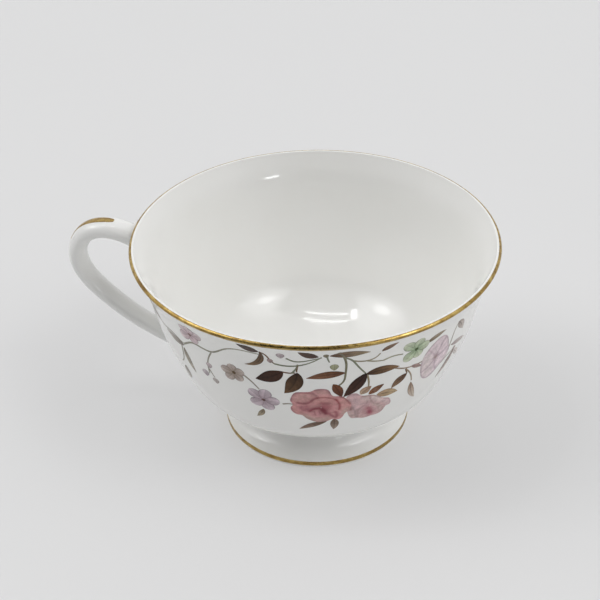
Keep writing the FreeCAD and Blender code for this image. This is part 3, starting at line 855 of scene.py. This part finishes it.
PALE_ROSE_OUTLINE = [
    (-71.3, 36.5), (-70.6, 37.7), (-69.4, 38.2), (-67.6, 38.0), (-66.5, 37.2), (-65.3, 36.7),
    (-63.5, 36.5), (-62.0, 36.3), (-60.5, 35.7), (-59.0, 34.9), (-57.7, 34.0), (-56.4, 33.5),
    (-55.0, 33.0), (-54.2, 32.0), (-53.6, 30.7), (-53.9, 29.8), (-55.0, 29.7), (-55.6, 28.7),
    (-56.3, 27.4), (-57.3, 26.8), (-59.0, 26.6), (-61.0, 26.5), (-63.0, 26.3), (-64.8, 26.6),
    (-66.4, 27.0), (-68.0, 27.2), (-69.2, 28.3), (-70.0, 29.9), (-70.6, 31.9), (-71.1, 34.3),
]
PALE_ROSE_STROKES = [
    ((212, 180, 182), 0.9, 1.6, [(-69.5, 36.9), (-68.0, 35.9), (-67.0, 33.9), (-66.5, 32.1)]),
    ((190, 166, 162), 0.8, 0.9, [(-69.5, 30.1), (-68.6, 28.5), (-67.0, 27.9)]),
    ((212, 190, 186), 0.85, 1.0, [(-64.6, 35.5), (-63.2, 34.9)]),
    ((210, 168, 168), 0.85, 0.9, [(-64.6, 31.9), (-63.6, 31.3), (-63.2, 30.5)]),
    ((224, 206, 202), 0.9, 1.0, [(-61.6, 35.4), (-60.2, 34.7), (-58.6, 33.6)]),
    ((220, 194, 195), 0.85, 0.9, [(-56.9, 32.8), (-55.5, 31.9), (-54.6, 30.9)]),
    ((212, 172, 172), 0.85, 0.8, [(-59.6, 30.1), (-59.0, 28.7), (-58.8, 27.5)]),
    ((208, 174, 172), 0.8, 0.6, [(-64.4, 27.4), (-62.5, 27.0), (-60.5, 27.0)]),
    ((194, 152, 152), 0.8, 0.6, [(-64.3, 29.8), (-63.7, 28.4)]),
    ((190, 166, 160), 0.85, 0.5, [(-60.7, 32.0), (-58.6, 31.0), (-57.1, 29.6), (-56.5, 28.4)]),
    ((172, 104, 114), 0.85, 1.0, [(-62.4, 30.7), (-61.8, 29.7), (-61.4, 28.7), (-60.9, 27.9)]),
    ((148, 66, 84), 0.9, 0.7, [(-61.6, 29.1), (-61.3, 28.4)]),
    ((160, 116, 116), 0.85, 0.5, [(-70.8, 35.9), (-70.0, 34.7), (-69.4, 32.9), (-69.0, 31.4)]),
    ((164, 140, 140), 0.8, 0.28, [(-68.6, 32.4), (-67.4, 30.4), (-66.8, 28.4), (-66.3, 26.9)]),
    ((172, 142, 142), 0.8, 0.3, [(-66.6, 31.1), (-66.1, 29.1), (-66.0, 27.3)]),
    ((178, 146, 148), 0.8, 0.28, [(-66.2, 30.5), (-65.0, 31.9), (-63.8, 32.9), (-63.2, 34.1)]),
    ((176, 148, 146), 0.85, 0.28, [(-62.8, 36.1), (-62.4, 34.5), (-61.6, 33.3), (-60.5, 32.3),
        (-58.8, 31.7)]),
    ((180, 150, 148), 0.85, 0.26, [(-58.5, 30.5), (-57.9, 29.1), (-57.2, 27.5)]),
    ((184, 154, 158), 0.85, 0.24, [(-57.0, 33.4), (-55.3, 32.8), (-54.3, 31.8), (-53.8, 30.7)]),
    ((182, 152, 156), 0.85, 0.24, [(-70.8, 37.3), (-69.4, 38.0), (-67.7, 37.8), (-66.6, 37.1)]),
    ((172, 146, 140), 0.85, 0.3, [(-65.4, 36.5), (-63.6, 36.3), (-62.0, 36.1), (-60.4, 35.5), (-58.8, 34.6)]),
]

BELL_OUTLINE = [
    (-44.6, 42.8), (-44.4, 40.3), (-43.8, 38.4), (-41.9, 35.7), (-38.9, 34.7), (-36.4, 35.5),
    (-34.3, 37.1), (-31.6, 39.3), (-31.0, 41.3), (-32.0, 43.5), (-33.0, 45.7), (-34.3, 47.5),
    (-37.4, 48.9), (-40.2, 48.1), (-42.2, 46.7), (-43.8, 44.9),
]
BELL_STROKES = [
    ((228, 210, 216), 0.8, 2.0, [(-35.2, 43.9), (-34.0, 41.5), (-36.0, 38.5)]),
    ((220, 208, 206), 0.8, 1.8, [(-42.4, 42.9), (-41.6, 39.9), (-40.6, 37.3)]),
    ((196, 176, 184), 0.9, 0.35, [(-38.4, 41.3), (-40.6, 39.5), (-43.4, 38.5)]),
    ((192, 172, 182), 0.9, 0.35, [(-38.0, 41.1), (-37.4, 38.5), (-35.6, 36.3)]),
    ((192, 172, 182), 0.9, 0.35, [(-37.4, 41.9), (-34.8, 42.3), (-32.0, 43.5)]),
    ((192, 172, 180), 0.9, 0.35, [(-37.8, 42.7), (-36.4, 45.5), (-35.0, 47.9)]),
    ((196, 176, 182), 0.9, 0.35, [(-38.6, 42.5), (-40.8, 44.7), (-42.6, 46.1)]),
    ((180, 156, 160), 0.95, 1.1, [(-38.1, 41.9)]),
    ((150, 128, 120), 0.9, 0.45, [(-38.1, 41.9)]),
    ((186, 168, 174), 0.9, 0.26, [(-44.4, 42.8), (-44.2, 40.3), (-43.6, 38.5), (-41.8, 35.9), (-38.9, 34.9),
        (-36.4, 35.7), (-34.4, 37.3), (-31.8, 39.5)]),
    ((186, 168, 174), 0.9, 0.26, [(-31.2, 41.3), (-32.2, 43.5), (-33.2, 45.7), (-34.5, 47.3), (-37.4, 48.7),
        (-40.2, 47.9), (-42.2, 46.5), (-43.6, 44.9)]),
]


def make_leaves():
    """Every leaf on one sheet."""
    sheet = Print()
    for stalk, tip, width, root, end, curve in LEAVES:
        sheet.blade(stalk, tip, width, root, end, curve=curve)
    return sheet


def make_stems():
    """Every stem on one sheet, and the buds, which are lighter at the top."""
    sheet = Print()
    for points, width, colour in STEMS:
        sheet.stem(points, width, colour)
    for (azimuth, height), size, colour in BUDS:
        light = tuple(min(255, int(c * 1.12)) for c in colour)
        sheet.blade((azimuth, height - size / 2), (azimuth, height + size / 2), size * 0.95, colour, light,
                    rounded, rows=14, cols=9, rib=0.25, veins=0.0, edge=0.3, layer=2)
    return sheet


def make_blossom(centre, tips, width, root, end, heart, heart_size):
    """A small flower: one petal to each tip, then a dotted heart."""
    sheet = Print()
    for i, tip in enumerate(tips):
        sheet.blade(centre, tip, width, root, end, rounded, rows=24, cols=19, rib=0.25, veins=0.0, edge=0.45,
                    layer=i % 3)
    azimuth, height = centre
    sheet.blade((azimuth, height - heart_size / 2), (azimuth, height + heart_size / 2), heart_size, heart,
                heart, rounded, rows=12, cols=9, rib=0.3, veins=0.0, edge=0.3, layer=4)
    return sheet


def make_bloom(centre, outline, base, strokes, layer):
    """A big flower on a sheet of its own."""
    sheet = Print()
    sheet.bloom(centre, outline, base, strokes, layer=layer)
    return sheet


def make_garland(paint):
    """Both printed sprays: the same motifs on the front and half a turn round at the back."""
    sheets = {
        "stems": make_stems(),
        "leaves": make_leaves(),
        "pale_rose": make_bloom((-62.0, 31.5), PALE_ROSE_OUTLINE, (202, 168, 168), PALE_ROSE_STROKES, 2),
        "rose": make_bloom((-79.6, 33.5), ROSE_OUTLINE, (208, 152, 152), ROSE_STROKES, 4),
        "bellflower": make_bloom((-38.0, 41.9), BELL_OUTLINE, (220, 204, 208), BELL_STROKES, 2),
    }
    sheets.update({name: make_blossom(*facts) for name, facts in BLOSSOMS.items()})
    for side, turn in GARLAND_TURNS.items():
        for name, sheet in sheets.items():
            sheet.piece(f"{side}_{name}", f"{side}_garland_transfer", turn, paint)


# ---------------- studio


def make_camera():
    """Set by its distance and direction from the target, then turned."""
    a, e = math.radians(CAMERA_AZIMUTH), math.radians(CAMERA_ELEVATION)
    back = Vector((math.sin(a) * math.cos(e), -math.cos(a) * math.cos(e), math.sin(e)))
    forward, right = -back, Vector((math.cos(a), math.sin(a), 0))
    up = right.cross(forward)
    pan = Matrix.Rotation(math.radians(CAMERA_PAN), 3, up)
    forward, right = pan @ forward, pan @ right
    tilt = Matrix.Rotation(math.radians(CAMERA_TILT), 3, right)
    forward, up = tilt @ forward, tilt @ up
    roll = Matrix.Rotation(math.radians(CAMERA_ROLL), 3, forward)
    right, up = roll @ right, roll @ up
    data = bpy.data.cameras.new("camera")
    data.lens, data.sensor_width = LENS, SENSOR
    data.clip_start, data.clip_end = 0.01, 20
    camera = bpy.data.objects.new("camera", data)
    turn = Matrix((right, up, -forward)).transposed().to_4x4()
    place = (Vector(CAMERA_TARGET) + back * CAMERA_DISTANCE) * MM
    camera.matrix_world = Matrix.Translation(place) @ turn
    bpy.context.scene.collection.objects.link(camera)
    bpy.context.scene.camera = camera


def lamp(name, towards, size):
    """A flat lamp in a direction from the cup, facing it."""
    towards = Vector(towards).normalized()
    data = bpy.data.lights.new(name, "AREA")
    data.shape, data.size, data.size_y = "RECTANGLE", *size
    data.energy = LAMP_RADIANCE * math.pi * size[0] * size[1]
    across = Vector((1, 0, 0))
    across = (across - towards * across.dot(towards)).normalized()
    turn = Matrix((across, towards.cross(across), towards)).transposed().to_4x4()
    box = bpy.data.objects.new(name, data)
    box.matrix_world = Matrix.Translation(towards * LAMP_DISTANCE) @ turn
    bpy.context.scene.collection.objects.link(box)


def worked(tree, operation, *values):
    """A sum, product or other operation on numbers and sockets."""
    made = tree.nodes.new("ShaderNodeMath")
    made.operation = operation
    put(tree, made, dict(enumerate(values)))
    return made.outputs["Value"]


def eased(tree, value, start, end):
    """0 before the start, 1 past the end, and a smooth slope between."""
    made = add(tree, "MapRange", {
        "Value": value, "From Min": min(start, end), "From Max": max(start, end),
        "To Min": int(start > end), "To Max": int(start < end)})
    made.interpolation_type = "SMOOTHSTEP"
    return made.outputs["Result"]


def sky():
    """A pale room with two soft round lights; it is dim toward the camera, where a person stands."""
    world = bpy.data.worlds.new("studio")
    world.use_nodes = True
    tree = world.node_tree
    direction = add(tree, "TexCoord", {}).outputs["Generated"]
    x, y, z = add(tree, "SeparateXYZ", {"Vector": direction}).outputs
    dim = eased(tree, worked(tree, "MULTIPLY", y, -1), DIM_FROM, DIM_TO)
    room = mixed(tree, dim, ROOM_BRIGHT, ROOM_DIM)
    person = worked(tree, "MULTIPLY", eased(tree, x, *PERSON_LEFT), eased(tree, x, *PERSON_RIGHT))
    person = worked(tree, "MULTIPLY", person, eased(tree, y, *PERSON_BACK))
    person = worked(tree, "MULTIPLY", person, eased(tree, z, *PERSON_LOW))
    glow = 0
    for towards, discs in UMBRELLAS:
        parts = [worked(tree, "MULTIPLY", *pair) for pair in zip((x, y, z), towards)]
        facing = worked(tree, "ADD", worked(tree, "ADD", *parts[:2]), parts[2])
        for rim, core, radiance in discs:
            disc = worked(tree, "MULTIPLY", eased(tree, facing, rim, core), radiance)
            glow = worked(tree, "ADD", glow, disc)
    white = add(tree, "CombineColor", {"Red": glow, "Green": glow, "Blue": glow}).outputs["Color"]
    lit = mixed(tree, 1, room, white, "ADD")
    put(tree, tree.nodes["Background"], {"Color": mixed(tree, person, lit, PERSON)})
    bpy.context.scene.world = world


def make_studio():
    """The floor, the room's light and the lamps."""
    mesh = bpy.data.meshes.new("floor")
    r = FLOOR_REACH
    mesh.from_pydata([(-r, -r, 0), (r, -r, 0), (r, r, 0), (-r, r, 0)], [], [(0, 1, 2, 3)])
    mesh.materials.append(paper("pale_paper"))
    floor = bpy.data.objects.new("floor", mesh)
    bpy.context.scene.collection.objects.link(floor)
    sky()
    for name, towards, size in LAMPS:
        lamp(name, towards, size)
    bpy.context.scene.view_settings.view_transform = "Standard"


# ---------------- the cup

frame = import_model()
for old in list(bpy.data.objects):
    if old.name not in frame["nodes"] and old not in frame["bodies"].values():
        bpy.data.objects.remove(old)
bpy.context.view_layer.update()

glaze = porcelain("porcelain_glaze", GLAZE_LIGHT, GLAZE_SHADE)
# The loop and its slips get the darker copy of the glaze, which is painted shade
handle_painted_shade_glaze = porcelain("handle_painted_shade_glaze", HANDLE_SHADED_GLAZE_LIGHT, HANDLE_SHADED_GLAZE_SHADE)
rim_metal = gold("rim_gilding_metal", RIM_GOLD_BRIGHT, RIM_GOLD_DARK, (1, 1, 3))
stroke_metal = gold("stroke_gilding_metal", STROKE_GOLD_BRIGHT, STROKE_GOLD_DARK, (1, 3, 1))
printed = enamel("printed_enamel_ink")

make_bowl(glaze)
make_foot(glaze)
make_handle(handle_painted_shade_glaze)
make_rim_gold(rim_metal)
make_foot_gold(rim_metal)
make_handle_gold(stroke_metal)
make_garland(printed)
make_camera()
make_studio()
